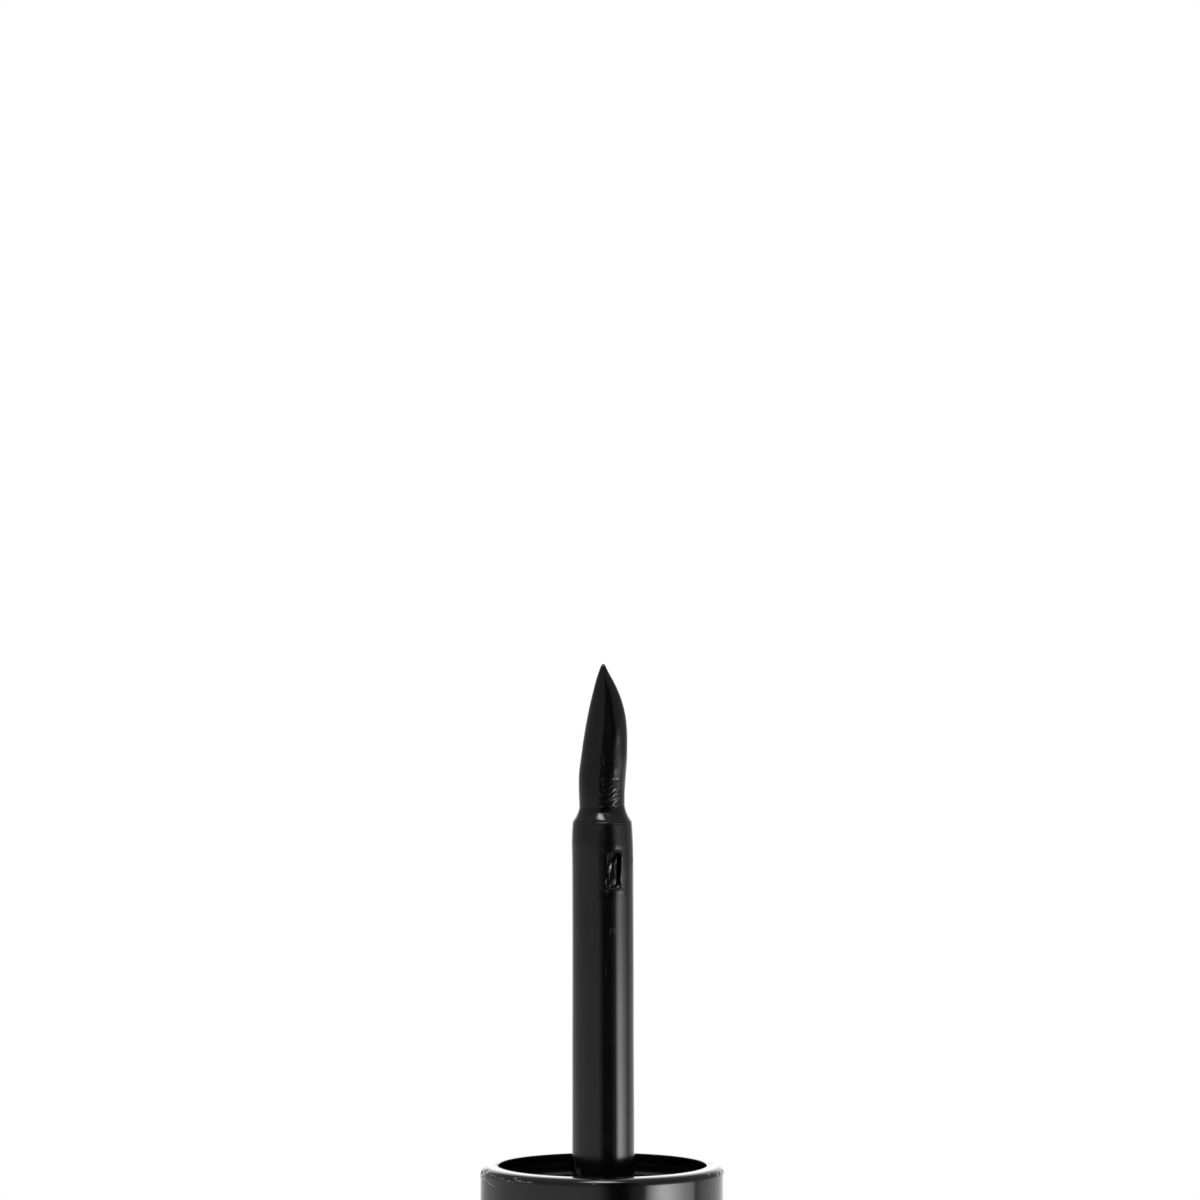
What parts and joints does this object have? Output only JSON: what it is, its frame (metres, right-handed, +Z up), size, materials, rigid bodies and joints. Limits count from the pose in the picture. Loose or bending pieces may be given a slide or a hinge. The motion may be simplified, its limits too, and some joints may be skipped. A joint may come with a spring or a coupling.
{
  "type": "liquid eyeliner bottle",
  "caption": "Slim dip-in liquid eyeliner, opened: a threaded bottle with wiper and ink, and beside it the cap with its wand and felt tip standing point up.",
  "frame": {"origin": "on the surface the object stands on, midway between the bottle's axis and the applicator's axis", "axes": "+Z up, along the stem and the bottle; +X from the applicator towards the bottle; the pictured side faces -Y"},
  "size_m": [0.0378, 0.0138, 0.0783],
  "materials": {
    "bottle_plastic": "gloss black, moulded",
    "wiper_plastic": "soft, milky, unpigmented",
    "ink": "wet black liquid",
    "ball_steel": "polished stainless steel",
    "label": "bare paper label",
    "cap_plastic": "gloss black, moulded, lightly scuffed at the rim",
    "liner_plastic": "satin black, moulded",
    "stem_plastic": "satin black, moulded",
    "holder_plastic": "satin black, moulded",
    "felt": "pressed felt, wet with black ink"
  },
  "bodies": {
    "bottle_body": {"bottle": "bottle_plastic", "wiper": "wiper_plastic", "ink": "ink", "base_label": "label"},
    "applicator": {"cap_shell": "cap_plastic", "inner_cap": "liner_plastic", "stem": "stem_plastic", "tip_holder": "holder_plastic", "felt_tip": "felt"},
    "left_ball": {"mixing_ball_left": "ball_steel"},
    "right_ball": {"mixing_ball_right": "ball_steel"}
  },
  "joints": [
    {"name": "applicator_lift", "type": "slide", "parent": "bottle_body", "child": "applicator", "axis": [0, 0, 1], "range_m": [0, 0.09]},
    {"name": "left_ball_travel", "type": "slide", "parent": "bottle_body", "child": "left_ball", "axis": [0, 0, 1], "range_m": [0, 0.026], "deforming": ["ink"]},
    {"name": "right_ball_travel", "type": "slide", "parent": "bottle_body", "child": "right_ball", "axis": [0, 0, 1], "range_m": [0, 0.026], "deforming": ["ink"]}
  ]
}
